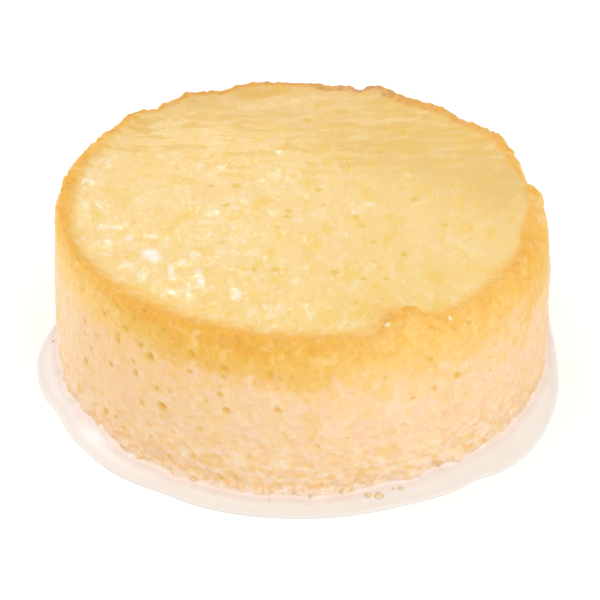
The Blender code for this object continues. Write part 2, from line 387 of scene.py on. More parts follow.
# Rings of (point, climb, inward). Climb is 0 at the foot, 1 at the shoulder, 2 at the crest, 3 inside the rim
# and 4 in the middle; inward is how far in from the crest a point of the top lies, and below it less than 0.
def cakeRings():
    gold, shoulder = cake["goldClimb"], cake["shoulderHeight"]
    angles = allRound(cake["around"])
    crests = [crestAt(a) for a in angles]
    lines = [cake["goldLine"] + swell(a, cake["goldLineTurns"]) * mm for a in angles]
    rings = []
    for row in range(cake["wallRows"] + 1):
        height = shoulder * row / cake["wallRows"]
        ring = []
        for a, (rise, lean), line in zip(angles, crests, lines):
            below = gold * height / line
            above = gold + (1.0 - gold) * (height - line) / (shoulder - line)
            ring.append((onRing(a, wallRadius(a, height, lean), height), below if height < line else above,
                         height - cake["crestHeight"] - rise))
        rings.append(ring)
    walls = [math.hypot(p.x, p.y) for p, climb, inward in rings[-1]]
    for row in range(1, cake["shoulderRows"] + 1):
        share = row / cake["shoulderRows"]
        ring = []
        for a, crest, wall in zip(angles, crests, walls):
            point, below = shoulderPoint(a, share * math.pi / 2.0, crest, wall)
            ring.append((point, 1.0 + share, -below))
        rings.append(ring)
    for row in range(1, cake["rimRows"] + 1):
        share = row / cake["rimRows"]
        fall = easeStep(share, -0.25, 1.0) - easeStep(0.0, -0.25, 1.0) * (1.0 - share)
        ring = []
        for a, (rise, lean) in zip(angles, crests):
            crestRadius, innerRadius = cake["crestRadius"] - lean + outOfRound(a), rimFootAt(a, lean)
            foot = onRing(a, innerRadius, 0.0)
            top = cake["crestHeight"] + rise
            inward = (crestRadius - innerRadius) * share
            ring.append((onRing(a, crestRadius - inward, top + (topHeightAt(foot.x, foot.y) - top) * fall),
                         2.0 + share, inward))
        rings.append(ring)
    topRows = round(cake["rimFootRadius"] / cake["topStep"])
    for row in range(topRows - 1, 0, -1):
        share = row / topRows
        count = max(6, round(2.0 * math.pi * cake["rimFootRadius"] * share / cake["topStep"]))
        ring = []
        for a in allRound(min(count, cake["around"])):
            lean = crestAt(a)[1]
            flat = onRing(a, rimFootAt(a, lean) * share, 0.0)
            inward = cake["crestRadius"] - lean + outOfRound(a) - flat.length
            ring.append((onTop(flat.x, flat.y), 4.0 - share, inward))
        rings.append(ring)
    return rings


def stitch(faces, lower, upper):  # triangles between two closed rings that may differ in number
    i = j = 0
    while i < len(lower) or j < len(upper):
        a, b = lower[i % len(lower)], upper[j % len(upper)]
        if i < len(lower) and (i + 1) * len(upper) <= (j + 1) * len(lower):
            i += 1
            faces.append((a, lower[i % len(lower)], b))
        else:
            j += 1
            faces.append((a, upper[j % len(upper)], b))


def toastValues(azimuths, inward):
    values = numpy.zeros(len(azimuths))
    for centre, place, halfWidth, halfDepth, strength in cake["toast"]:
        across = (inward - place * mm) / (halfDepth * mm)
        values = numpy.maximum(values, strength * bulge(azimuths, centre, halfWidth) * math.e ** -(across ** 2))
    return values


# the bead mask: real milk beads, whose brightest cores are painted glints
def beadAndGlintValues(spots, inward):
    values = numpy.zeros(len(spots))
    for x, y, halfWidth, halfDepth, strength in milkBeadsAndGlints:
        far = ((spots[:, 0] - x * mm) / (halfWidth * mm)) ** 2 + ((spots[:, 1] - y * mm) / (halfDepth * mm)) ** 2
        values = numpy.maximum(values, strength * math.e ** (-0.5 * far))
    return numpy.where(inward > -1.5 * mm, values, 0.0)


def buildCakeBody():
    marks, rows = [], []
    for ring in cakeRings():
        rows.append(range(len(marks), len(marks) + len(ring)))
        marks += ring
    faces = []
    for lower, upper in zip(rows, rows[1:]):
        stitch(faces, lower, upper)
    middle, under = len(marks), len(marks) + 1
    marks += [(onTop(0.0, 0.0), 4.0, cake["crestRadius"]),
              (Vector(), 0.0, -cake["crestHeight"])]
    first, last = rows[0], rows[-1]
    faces += [(last[i], last[(i + 1) % len(last)], middle) for i in range(len(last))]
    faces += [(first[(i + 1) % len(first)], first[i], under) for i in range(len(first))]
    body = placeMesh("soakedCake", [mark[0] for mark in marks], faces)

    spots = numpy.array([tuple(mark[0]) for mark in marks])
    climb, inward = numpy.array([mark[1:] for mark in marks]).T
    azimuths = numpy.degrees(numpy.arctan2(spots[:, 1], spots[:, 0]))
    nearCrest = numpy.clip((climb - 1.3) / 0.7, 0.0, 1.0)
    band = cake["bandBakeAndShade"] + swell(azimuths, cake["bandBakeAndShadeTurns"])
    crest = cake["crestBake"] + swell(azimuths, cake["crestBakeTurns"])
    reach = cake["crustReach"] + swell(azimuths, cake["crustReachTurns"]) * mm
    spill = swell(azimuths, cake["topSpillTurns"]) * mm
    storeValues(
        body, climb=climb, bake=band + (crest - band) * nearCrest, toast=toastValues(azimuths, inward),
        topward=(inward + spill) / reach,  # 0 at the crest, 1 where the crust gives way to the wet top
        bead=beadAndGlintValues(spots, inward), openness=swell(azimuths, crumb["poreTurns"]),
    )
    return body


# milk standing on the top, and painted glints on it and on the crest: x, y, half width, half depth in mm, strength
milkBeadsAndGlints = (
    (-29.6, -16.9, 1.3, 1.6, 1.6), (-28.6, -18.9, 1, 1.5, 1.5), (-30.2, -18.2, 0.8, 1.2, 1.2),
    (-12.3, -31.3, 0.9, 1.7, 1.2), (-19.9, -24.8, 0.7, 1.6, 1.1), (-19.2, -27.9, 0.7, 1.8, 1.2),
    (-38.3, -7.7, 1.9, 0.9, 1), (-25.2, -23.2, 0.6, 1.7, 1.2), (-24.8, -26.3, 0.7, 1.4, 1),
    (-33.6, -21.8, 1.2, 1.2, 1), (-17.3, -1.5, 0.6, 1.6, 0.88), (-21.6, -31, 0.6, 2.2, 1),
    (-30.9, -25.1, 0.8, 1.7, 0.9), (-43.7, 8.8, 1.2, 1.3, 0.8), (-5, 12.6, 1.3, 1.7, 0.58),
    (13.6, 1.2, 1, 1.3, 0.78), (-5.2, 21.3, 0.8, 1.1, 0.58), (-8.7, 10.6, 0.6, 2, 0.48),
    (-11.5, 2.1, 0.6, 1.1, 0.88), (-25.1, -30.8, 1.1, 1.1, 0.9), (-43.6, 0.1, 1, 1.1, 0.8),
    (-5.8, -2.2, 0.6, 1.4, 0.78), (-15.1, -16.8, 1.1, 1.2, 0.8), (-34, -11.5, 0.7, 1, 1.2),
    (-16.6, 16.4, 0.8, 1.1, 0.58), (-40.2, 16, 0.8, 0.9, 0.8), (21.7, 12.5, 0.8, 1.2, 0.58),
    (8.5, 12.6, 1, 1, 0.48), (-37.9, -13.4, 0.7, 1.4, 1), (-21.2, -17.7, 0.6, 1.6, 1.1),
    (-29.5, -10.9, 1.2, 0.9, 1), (10.3, 1.5, 0.7, 1.1, 0.58), (-32.5, 1.9, 0.8, 1.1, 0.68),
    (-23, -20.4, 0.6, 1, 1.1), (17.3, -15.1, 0.5, 1.6, 0.7), (7.9, -3.7, 0.5, 1.7, 0.58),
    (-38.1, -17.8, 1.2, 0.7, 0.9), (-5.5, 4.4, 0.6, 1.6, 0.48), (-24.2, 22, 0.7, 0.9, 0.58),
    (15.6, -44.1, 0.5, 0.4, 1.3), (27.4, -39.3, 0.3, 0.4, 1.3), (7.2, 23.2, 1.6, 1.2, 0.45),
    (-19.9, 25.4, 1.1, 0.7, 0.48), (8.7, -9.6, 0.5, 1.4, 0.8), (-41.1, 0, 0.6, 1, 0.9),
)

crumb = {
    "sizes": {  # what the crumb's tree is given
        "Pores per m2": 55000.0, "Pore gap": 1.6 * mm, "Least pore": 0.34 * mm, "Largest pore": 0.66 * mm,
        "Pore depth": 0.6,  # as a share of a pore's radius
        "Crumb length": 1.5 * mm, "Crumb depth": 0.48 * mm, "Grain length": 0.8 * mm, "Grain depth": 0.20 * mm,
        "Wet length": 3.0 * mm, "Wet depth": 0.12 * mm, "Crust length": 1.7 * mm, "Crust depth": 0.85 * mm,
        "Foot length": 1.5 * mm, "Foot depth": 0.8 * mm, "Seed": 7,
    },
    # the larger pores of the front: azimuth, height, radius in mm
    "bigPores": (
        (-97, 28.2, 0.95), (-94.9, 27.6, 0.55), (-102.4, 31.1, 0.76), (-89.2, 31.1, 0.6), (-95.2, 20.5, 0.75),
        (-132.2, 29.6, 0.92), (-121.7, 33.2, 0.81), (-125.2, 26, 1.04), (-127.8, 27.6, 0.76), (-134.9, 25.9, 0.73),
        (-147.2, 15.1, 0.88), (-117.7, 31, 0.61), (-114.5, 29.9, 0.83), (-115.2, 25.7, 0.63), (-106.9, 28.4, 0.95),
        (-107.2, 26.4, 0.63), (-139.8, 6.7, 0.88), (-122.1, 15.7, 1.12), (-106.4, 19, 0.81), (-119.7, 20.2, 0.61),
        (-129.3, 20.7, 0.71), (-134.7, 33.6, 0.59), (-129.3, 33, 0.63), (-159.3, 14.8, 0.51), (-147.1, 24.5, 0.63),
        (-136.8, 19.7, 0.71), (-108.1, 22.3, 0.73), (-72, 26, 0.56), (-66.8, 30.6, 0.42), (-61, 27.2, 0.66),
        (-65.6, 20.3, 0.5), (-54.3, 21.7, 0.85), (-44.2, 21.8, 0.46), (-43.9, 18.5, 0.42),
    ),
    # soft pits of the top: x, y, radius in mm
    "topPits": (
        (6.4, -23.1, 0.95), (-2.7, -1, 1.1), (-2.9, -3.2, 0.8), (-13.3, 8.6, 1.1), (-5.1, -22.2, 0.95),
        (-15.3, 0.9, 0.9), (10.8, -3.1, 0.9), (22.9, 3.1, 1), (11.7, -25.6, 0.75), (19.8, -17.1, 0.7),
        (16.1, -25.8, 0.75), (16.2, 22.5, 0.75), (14.1, -12, 0.7), (21.6, 29, 0.8), (-9.3, -22.7, 0.65),
        (-15.5, -12.6, 0.65), (10.1, -34.1, 0.7), (1.2, 34.6, 1), (-2.9, 24.6, 0.9), (-18.7, 8.7, 0.8),
        (3.3, 7.2, 0.9), (-33.9, -18.5, 0.6),
    ),
    # how thickly the small pores lie round the side: azimuth, half width, share
    "poreTurns": ((-128, 40, 1), (-45, 35, 0.35), (30, 50, 0.55), (120, 60, 0.7)),
}


def bigPoreSeeds():  # the larger pores as loose points, each with its reach
    points, shoulder = [], cake["shoulderHeight"]
    for azimuth, height, radius in crumb["bigPores"]:
        height *= mm
        rise, lean = crestAt(azimuth)
        if height <= shoulder:
            place = onRing(azimuth, wallRadius(azimuth, height, lean), height)
        else:
            climbed = (height - shoulder) / (cake["crestHeight"] + rise - shoulder)
            wall = sideRadius(azimuth, shoulder, lean)
            place = shoulderPoint(azimuth, math.asin(min(climbed, 1.0)), (rise, lean), wall)[0]
            place.z = height
        points.append(place)
    points += [onTop(x * mm, y * mm) for x, y, radius in crumb["topPits"]]
    seeds = placeMesh("bigPoreSeeds", points, [])
    storeValues(seeds, reach=[pore[2] * mm for pore in crumb["bigPores"] + crumb["topPits"]])
    return seeds


def buildCrumbTree(material, seeds):
    kit, given = newTree("spongeCrumb", crumb["sizes"])
    place, times, plus, minus, fit = kit.place, kit.times, kit.plus, kit.minus, kit.fit
    climb, topward = kit.read("climb"), kit.read("topward")

    # masks: the open crumb of the side, the baked shoulder, the wet top
    side = fit(climb, 1.55, 1.0)
    crust = times(fit(climb, 0.95, 1.5), fit(topward, 1.5, 0.5, 0.15, 1.0))
    top = fit(topward, 0.6, 1.8)
    resting = fit(kit.spot["Z"], 0.0, 0.9 * mm)  # nothing moves where the cake rests

    # pores: a few placed ones and many small ones scattered over the side and, thinly, over the top
    bandPores = times(fit(climb, 0.25, 0.85, 0.30, 1.0), fit(climb, 1.7, 1.25), kit.read("openness"))
    topPores = fit(climb, 2.8, 3.0, 0.0, 0.10)
    scattered = kit.add("GeometryNodeDistributePointsOnFaces", {
        "Mesh": given["Geometry"], "Distance Min": given["Pore gap"], "Density Max": given["Pores per m2"],
        "Density Factor": kit.math("MAXIMUM", bandPores, topPores), "Seed": given["Seed"],
    }, distribute_method="POISSON").outputs["Points"]
    draw = kit.add("FunctionNodeRandomValue", {2: 0.0, 3: 1.0, "Seed": given["Seed"]}, data_type="FLOAT").outputs[1]
    span = minus(given["Largest pore"], given["Least pore"])
    drawn = kit.math("MULTIPLY_ADD", kit.math("POWER", draw, 2.2), span, given["Least pore"])
    few = kit.store(scattered, "reach", drawn)
    placed = kit.add("GeometryNodeObjectInfo", {"Object": seeds}).outputs["Geometry"]
    placed = kit.add("GeometryNodeMeshToPoints", {"Mesh": placed}).outputs[0]
    allSeeds = kit.add("GeometryNodeJoinGeometry")
    for points in (few, placed):
        kit.fill(allSeeds, {0: points})
    allSeeds = allSeeds.outputs[0]

    stray = kit.vector("SUBTRACT", kit.speckle(0.9 * mm, 1.0, output="Color"), (0.5, 0.5, 0.5))
    asked = kit.vector("ADD", place, kit.vector("SCALE", stray, scale=0.45 * mm))
    nearest = kit.add("GeometryNodeSampleNearest", {"Geometry": allSeeds, "Sample Position": asked},
                      domain="POINT").outputs[0]

    def atNearest(value, kind):
        return kit.add("GeometryNodeSampleIndex", {"Geometry": allSeeds, "Index": nearest, "Value": value},
                       data_type=kind, domain="POINT").outputs[0]

    reach = atNearest(kit.read("reach"), "FLOAT")
    gap = kit.vector("DISTANCE", asked, atNearest(place, "FLOAT_VECTOR"))
    hole = fit(kit.math("DIVIDE", gap, reach), 1.3, 0.2)
    shallower = fit(climb, 2.0, 2.6, 1.0, 0.35)  # the wet top fills its pits
    holeDepth = times(times(hole, reach), times(given["Pore depth"], shallower))

    # open crumb: torn little cells, deeper on the side
    def cells(length, feature):
        shift = kit.vector("SCALE", kit.speckle(length, output="Color"), scale=times(length, 0.9))
        return kit.add("ShaderNodeTexVoronoi", {
            "Vector": kit.vector("ADD", place, shift), "Scale": kit.scaleFor(length),
        }, feature=feature).outputs["Distance"]

    def drift(length, detail=2.0):
        return minus(kit.speckle(length, detail, 0.6), 0.5)

    crumbShape = minus(cells(given["Crumb length"], "F1"), 0.45)
    grainShape = times(drift(given["Grain length"]), 2.0)
    footShare = fit(climb, 0.22, 0.0, 1.0, 1.3)
    paleShare = fit(climb, 1.0, 0.6, 0.45, 1.0)
    sideMove = plus(times(crumbShape, given["Crumb depth"]), times(grainShape, given["Grain depth"]))
    sideMove = times(times(sideMove, side), times(footShare, paleShare))
    crustMove = times(drift(given["Crust length"], 1.5), 2.0, times(crust, given["Crust depth"]))
    wetShape = plus(minus(0.45, cells(given["Wet length"], "SMOOTH_F1")), kit.read("bead"))
    wetFine = times(drift(times(given["Wet length"], 0.45)), 0.8)
    wetPatches = fit(drift(9.0 * mm), -0.12, 0.16, 0.35, 1.0)
    topMove = times(times(plus(wetShape, wetFine), given["Wet depth"]), times(top, wetPatches))
    footMove = times(drift(given["Foot length"]), 2.0, times(fit(climb, 0.14, 0.04), given["Foot depth"]))
    move = times(plus(sideMove, crustMove, minus(topMove, holeDepth), footMove), resting)

    # the pore mask, which the material uses to paint shade into the pores
    marked = kit.store(given["Geometry"], "pore", hole)
    marked = kit.store(marked, "relief", kit.math("DIVIDE", move, 0.25 * mm))
    offset = kit.vector("SCALE", kit.add("GeometryNodeInputNormal").outputs[0], scale=move)
    moved = kit.add("GeometryNodeSetPosition", {"Geometry": marked, "Offset": offset}).outputs[0]
    return closeTree(kit, moved, material)


sponge = {
    "wet": {"light": 1.16, "gloss": 0.09},  # what the studio's light adds where the sponge is wet
    "side": {
        "straw": (247, 208, 142), "blush": (251, 208, 172), "cream": (253, 222, 186), "fleck": (247, 198, 138),
        "grain": (249, 202, 134), "creamGrain": (255, 232, 208), "pore": (238, 186, 60),
        "crustLight": (252, 212, 138), "crustDeep": (241, 176, 70), "toasted": (243, 179, 68),
        "farEdge": (212, 155, 96), "footEdge": (251, 200, 136), "milky": (253, 234, 218),
    },
    "top": {
        "plain": (252, 219, 152), "yellow": (250, 212, 122), "milky": (254, 231, 186), "far": (241, 204, 132),
        "backShade": (243, 208, 150), "speckGlint": (254, 234, 200), "rippleDeep": (240, 200, 118),
        "rippleLight": (249, 217, 158), "pitShade": (240, 199, 92), "paintedGlint": (255, 247, 232),
    },
    # from the foot over the pale crumb and the golden band to the crust: climb and colour; in the low stops the two
    # differ as painted light and painted shade
    "leastBakedAndLit": (
        (0.10, (255, 232, 196)), (0.45, (253, 220, 174)), (0.64, (253, 220, 174)), (0.82, (252, 214, 154)),
        (0.95, (252, 212, 135)), (1.15, (252, 211, 127)), (1.50, (252, 207, 119)), (1.80, (252, 202, 108)),
        (2.10, (250, 200, 104)),
    ),
    "mostBakedAndShaded": (
        (0.10, (252, 222, 175)), (0.45, (249, 211, 159)), (0.62, (249, 211, 159)), (0.76, (251, 208, 142)),
        (0.90, (244, 193, 96)), (1.15, (244, 190, 82)), (1.50, (246, 188, 72)), (1.80, (246, 188, 70)),
        (2.10, (244, 184, 74)),
    ),
    "rampLength": 2.2,
}


def paintSponge():
    material, kit, shader = newMaterial("soakedSponge")
    times, plus, about, fit = kit.times, kit.plus, kit.about, kit.fit
    mix, mottle, speckle = kit.mix, kit.mottle, kit.speckle
    side = {name: seenAs(*colour) for name, colour in sponge["side"].items()}
    wet = {name: seenAs(*colour, **sponge["wet"]) for name, colour in sponge["top"].items()}
    climb, bake, topward = kit.read("climb"), kit.read("bake"), kit.read("topward")
    pore, relief, toast = kit.read("pore"), kit.read("relief"), kit.read("toast")
    broad, middle, patch = speckle(9.0 * mm), speckle(4.2 * mm), speckle(2.2 * mm)
    small, fine = speckle(1.3 * mm), speckle(0.7 * mm)

    def along(axis, low, high, start=0.0, end=1.0):  # rises or falls across the cake, in mm
        return fit(kit.spot[axis], low * mm, high * mm, start, end)

    # the golden band and the crust, with a ragged line to the pale crumb below
    ragged = plus(climb, plus(about(broad, 0.40), plus(about(patch, 0.40), about(small, 0.25))))
    bakedZone = times(ragged, 1.0 / sponge["rampLength"])
    least, most = (
        kit.ramp(bakedZone, [(c / sponge["rampLength"], seenAs(*colour)) for c, colour in sponge[name]])
        for name in ("leastBakedAndLit", "mostBakedAndShaded")
    )
    # low on the side this mix is painted shade where the share is high and painted light where it is low
    base = mix(bake, least, most)

    # the crumb of the side: straw in the hollows and cream on the ridges, painted shade and painted light on its
    # relief, blushing patches, warm flecks
    pale = mottle(base, middle, 0.48, 0.64, 0.95, side["straw"])
    pale = mottle(pale, speckle(3.1 * mm), 0.48, 0.64, 0.8, side["blush"])
    pale = mottle(pale, speckle(2.7 * mm), 0.48, 0.34, 0.65, side["cream"])
    pale = mottle(pale, relief, -0.1, -1.2, 0.6, side["straw"])
    pale = mottle(pale, plus(relief, about(patch, 3.0)), 0.2, 1.2, 0.7, side["cream"])
    pale = mottle(pale, small, 0.60, 0.74, 0.45, side["fleck"])
    lowShare = fit(climb, 0.50, 0.10, 0.15, 1.0)  # the crumb is coarser towards the foot
    coarse = plus(speckle(2.3 * mm, at=kit.stretch(1.0, 1.0, 1.8)), about(fine, 0.15))
    pale = mix(times(lowShare, fit(coarse, 0.50, 0.64, 0.0, 0.8)), pale, side["grain"])
    pale = mix(times(lowShare, fit(coarse, 0.47, 0.34, 0.0, 0.8)), pale, side["creamGrain"])
    # painted shade: the side darker at the front left and low at the far right, where less light falls
    frontLeftShade = times(along("Y", -16.0, -30.0), along("X", -20.0, -38.0, 0.0, 0.34))
    farRightShade = times(along("X", 38.0, 48.0), fit(climb, 0.6, 0.3, 0.0, 0.25))
    pale = mix(plus(frontLeftShade, farRightShade), pale, side["fleck"])
    base = mix(fit(ragged, 1.05, 0.62), base, pale)

    # grains of the crust, paler and deeper, its toasted places, and its browned edge at the back
    clouds = speckle(3.3 * mm)
    grains = mottle(base, clouds, 0.52, 0.68, 0.45, side["crustDeep"])
    grains = mottle(grains, plus(clouds, fit(climb, 1.5, 1.9, 0.0, 0.12)), 0.48, 0.32, 0.7, side["crustLight"])
    grains = mottle(grains, plus(small, about(fine, 0.7)), 0.50, 0.70, 0.5, side["crustDeep"])
    grains = mottle(grains, plus(patch, about(fine, 0.9)), 0.56, 0.76, 0.6, side["crustLight"])
    toasted = plus(toast, plus(about(small, 1.1), about(fine, 0.9)))
    grains = mottle(grains, toasted, 0.35, 1.0, 0.9, side["toasted"])
    base = mix(fit(ragged, 0.75, 1.25), base, grains)
    inner = plus(climb, times(toast, -0.35), along("X", -5.0, 22.0, 0.0, -0.20))
    browned = times(
        along("Y", 14.0, 36.0, 0.15, 1.0), along("X", -35.0, 5.0, 0.3, 1.0), along("X", 14.0, 26.0, 1.0, 0.5),
        fit(climb, 1.35, 1.65), fit(inner, 2.30, 2.02), fit(plus(patch, about(small, 0.8)), 0.36, 0.56, 0.6, 1.0),
    )
    base = mix(browned, base, side["farEdge"])

    # the foot: milk has risen into the lowest crumbs, painted lighter than the light there gives to lift the shade
    # where the foot meets the milk, some keep a peach edge, and milk stands in others
    soakedLitFoot = fit(plus(climb, about(patch, 0.10)), 0.095, 0.035)
    base = mix(times(soakedLitFoot, along("X", -16.0, 10.0, 0.5, 1.0)), base, seenAs(255, 233, 210, light=1.04))
    edge = times(fit(climb, 0.15, 0.06), fit(plus(small, about(fine, 0.5)), 0.46, 0.56, 0.0, 0.7),
                 along("X", 0.0, 16.0, 1.0, 0.5))
    base = mix(edge, base, side["footEdge"])
    standing = fit(plus(speckle(1.6 * mm), about(fine, 0.4)), 0.50, 0.60, 0.0, 0.75)
    base = mix(times(fit(climb, 0.13, 0.04), standing), base, side["milky"])
    # painted shade: the pores painted a deeper gold on top of their real depth
    base = mix(times(pore, 0.9), base, side["pore"])

    # the wet top: deeper yellow patches, milky flecks and beads, less milk towards the far right, painted glints on
    # the beads and a darker tone towards the far side that is partly painted shade
    far = plus(times(kit.spot["X"], 0.6), times(kit.spot["Y"], 0.8))
    farShadeShare = fit(far, 11.0 * mm, 30.0 * mm)
    drawnOut = kit.stretch(1.0, 0.5, 1.0)  # towards the front
    # painted shade, in part: the top darker and deeper towards the far side, where less light falls
    top = mix(farShadeShare, wet["plain"], wet["far"])
    yellow = times(fit(speckle(3.4 * mm, at=drawnOut), 0.48, 0.70), fit(farShadeShare, 0.3, 1.0, 0.85, 0.45))
    top = mix(yellow, top, wet["yellow"])
    top = mix(along("Y", -14.0, -38.0, 0.0, 0.35), top, wet["yellow"])
    # milky flecks drawn out towards the front and strongest at the front left: partly real milk, partly painted sheen
    flecksAndSheen = fit(plus(speckle(1.8 * mm, 1.0, at=drawnOut), about(broad, 0.5)), 0.50, 0.78, 0.0, 0.55)
    top = mix(times(flecksAndSheen, fit(far, 30.0 * mm, -10.0 * mm, 0.25, 1.0)), top, wet["milky"])
    specksAndGlints = fit(plus(speckle(0.95 * mm, 1.0, at=drawnOut), about(patch, 0.3)), 0.58, 0.74)
    specksAndGlints = times(specksAndGlints, fit(broad, 0.36, 0.60, 0.2, 0.7), fit(farShadeShare, 0.25, 0.9, 1.0, 0.25),
                   along("X", 2.0, 26.0, 1.0, 0.5))  # small and milky, in drifts, partly painted faint glints
    top = mix(specksAndGlints, top, wet["speckGlint"])
    ripples = speckle(2.3 * mm, at=kit.stretch(0.3, 1.0, 1.0))  # along the far side
    # painted shade, in part: darker still at the back, away from the right
    top = mix(times(along("Y", 26.0, 42.0), along("X", 22.0, 8.0, 0.0, 0.6)), top, wet["backShade"])
    atBack = along("Y", 4.0, 26.0)
    top = mix(times(atBack, fit(ripples, 0.50, 0.64, 0.0, 0.75)), top, wet["rippleDeep"])
    top = mix(times(atBack, fit(ripples, 0.47, 0.34, 0.0, 0.75)), top, wet["rippleLight"])
    # painted shade: the pits of the top painted a deeper yellow
    top = mix(times(pore, 0.9), top, wet["pitShade"])
    edgeNoise = plus(about(patch, 0.5), plus(about(small, 0.5), about(fine, 0.4)))
    topShare = times(fit(plus(topward, edgeNoise), 0.35, 1.55), fit(toasted, 0.95, 0.45))
    base = mix(topShare, base, top)
    bead = kit.read("bead")
    bead = plus(bead, times(about(small, 0.9), fit(bead, 0.05, 0.4)))
    base = mottle(base, bead, 0.30, 0.85, 1.0, wet["milky"])
    # painted highlight: the strongest beads are painted near white as glints
    base = mottle(base, bead, 0.85, 1.35, 1.0, wet["paintedGlint"])

    wetness = times(plus(fit(patch, 0.40, 0.65, 0.06, 0.28), times(bead, 0.7)), along("X", -8.0, 18.0, 1.0, 0.2))
    wetCells = kit.add("ShaderNodeTexVoronoi", {"Vector": drawnOut, "Scale": 1.0 / (1.7 * mm), "Smoothness": 0.7},
                       feature="SMOOTH_F1").outputs["Distance"]
    wetShape = kit.minus(times(speckle(1.0 * mm, at=drawnOut), 0.5), wetCells)
    grainStrength = fit(topShare, 0.0, 1.0, 0.55, 0.3, "LINEAR")
    kit.fill(shader, {
        "Base Color": base,
        "Roughness": plus(about(fine, 0.2), fit(topShare, 0.0, 1.0, 0.60, 0.45, "LINEAR")),
        "Coat Weight": kit.math("MINIMUM", times(fit(topShare, 0.3, 1.0), wetness), 1.0),
        "Coat Roughness": 0.20,
        "Subsurface Weight": 0.18, "Subsurface Radius": (1.0, 0.55, 0.25), "Subsurface Scale": 1.0 * mm,
        "Normal": kit.bump(plus(fine, small), 0.14 * mm, grainStrength),
        "Coat Normal": kit.bump(wetShape, 0.16 * mm, 1.0),
    })
    return material


print("building the cake")
body = buildCakeBody()
seeds = bigPoreSeeds()
runTree(body, buildCrumbTree(paintSponge(), seeds), crumb["sizes"])
bpy.data.objects.remove(seeds)
print("cake:", len(body.data.polygons), "triangles")


milk = {
    "around": 560,
    "across": 34,
    "edgeRows": 10,
    "level": 0.75 * mm,
    "creep": 0.45 * mm,  # how far it climbs the foot, unevenly
    "creepLength": 2.6 * mm,
    "creepTurns": ((-141, 6, 0.9), (-156, 12, 0.4), (-56, 12, 0.4)),  # azimuth, half width, mm more
    "meanRadius": 54.4 * mm,
    "forward": 2.4 * mm,
    "aside": 0.4 * mm,
    "wander": 0.9 * mm,
    "leastReach": 1.4 * mm,
    "edgeWidth": 1.9 * mm,
    "waveDepth": 0.05 * mm,
    "waveLength": 6.0 * mm,
    "tuck": 2.4 * mm,  # how far it runs in under the ragged foot
    # lobes and bays of the shore: azimuth and half width in degrees, reach in mm
    "shoreTurns": (
        (-168, 17, 1.2), (-153, 6, -0.9), (-131, 6, 0.5), (-118, 5, -0.4), (-70, 9, -0.6), (-53.5, 3.5, -0.8),
        (-42, 11, 1.3), (-4, 16, -1.7), (170, 9, -1.4), (90, 50, -0.4),
    ),
    "creamySpotAndHighlight": (-44.0 * mm, -34.8 * mm, 0.0),
}


def footRadius(azimuth):
    return wallRadius(azimuth, 0.0, 0.0)


def shoreAt(azimuth):
    angle = math.radians(azimuth)
    radius = milk["meanRadius"] + milk["aside"] * math.cos(angle) - milk["forward"] * math.sin(angle)
    radius += milk["wander"] * noise.noise(onRing(azimuth, 1.7, 7.7)) + swell(azimuth, milk["shoreTurns"]) * mm
    return max(radius, footRadius(azimuth) + milk["leastReach"])


def milkSection(azimuth, foot, edge):  # from under the foot, over the top and down to the shore
    width = min(milk["edgeWidth"], 0.8 * (edge - foot - 0.3 * mm))
    start, flatEnd = foot - milk["tuck"], edge - width
    wave = max(0.8 + 3.2 * lumpNoise(onRing(azimuth, foot, 0.0), 3.0 * mm, 9.1), 0.0)
    creep = milk["creep"] * (1.1 + 0.7 * wave) + swell(azimuth, milk["creepTurns"]) * mm
    section = [(start, 0.0)]
    for row in range(milk["across"] + 1):
        radius = start + (flatEnd - start) * row / milk["across"]
        height = milk["level"] + creep * max(1.0 - max(radius - foot, 0.0) / milk["creepLength"], 0.0) ** 2.5
        height += milk["waveDepth"] * lumpNoise(onRing(azimuth, radius, 0.0), milk["waveLength"], 4.4)
        section.append((radius, height))
    level = section[-1][1]
    for row in range(1, milk["edgeRows"] + 1):
        turn = math.pi / 2.0 * (1.0 - row / milk["edgeRows"])
        section.append((edge - width * (1.0 - math.cos(turn)), level * math.sin(turn)))
    return section


def buildMilk(material):
    points, faces, footGaps, shoreGaps = [], [], [], []
    for azimuth in allRound(milk["around"]):
        foot, edge = footRadius(azimuth), shoreAt(azimuth)
        section = milkSection(azimuth, foot, edge)
        points += [onRing(azimuth, radius, height) for radius, height in section]
        footGaps += [(radius - foot) / mm for radius, height in section]
        shoreGaps += [(edge - radius) / milk["edgeWidth"] for radius, height in section]
    size = len(points) // milk["around"]
    for i in range(milk["around"]):
        here, there = i * size, ((i + 1) % milk["around"]) * size
        for j in range(size):
            k = (j + 1) % size
            faces.append((here + j, there + j, there + k, here + k))
    pool = placeMesh("seepedMilk", points, faces)
    storeValues(pool, footGap=footGaps, shoreGap=shoreGaps)  # mm out from the foot, edge widths in from the shore
    mesh = bmesh.new()
    mesh.from_mesh(pool.data)
    bmesh.ops.recalc_face_normals(mesh, faces=mesh.faces)
    mesh.to_mesh(pool.data)
    mesh.free()
    pool.data.materials.append(material)
    pool.data.shade_smooth()
    return pool


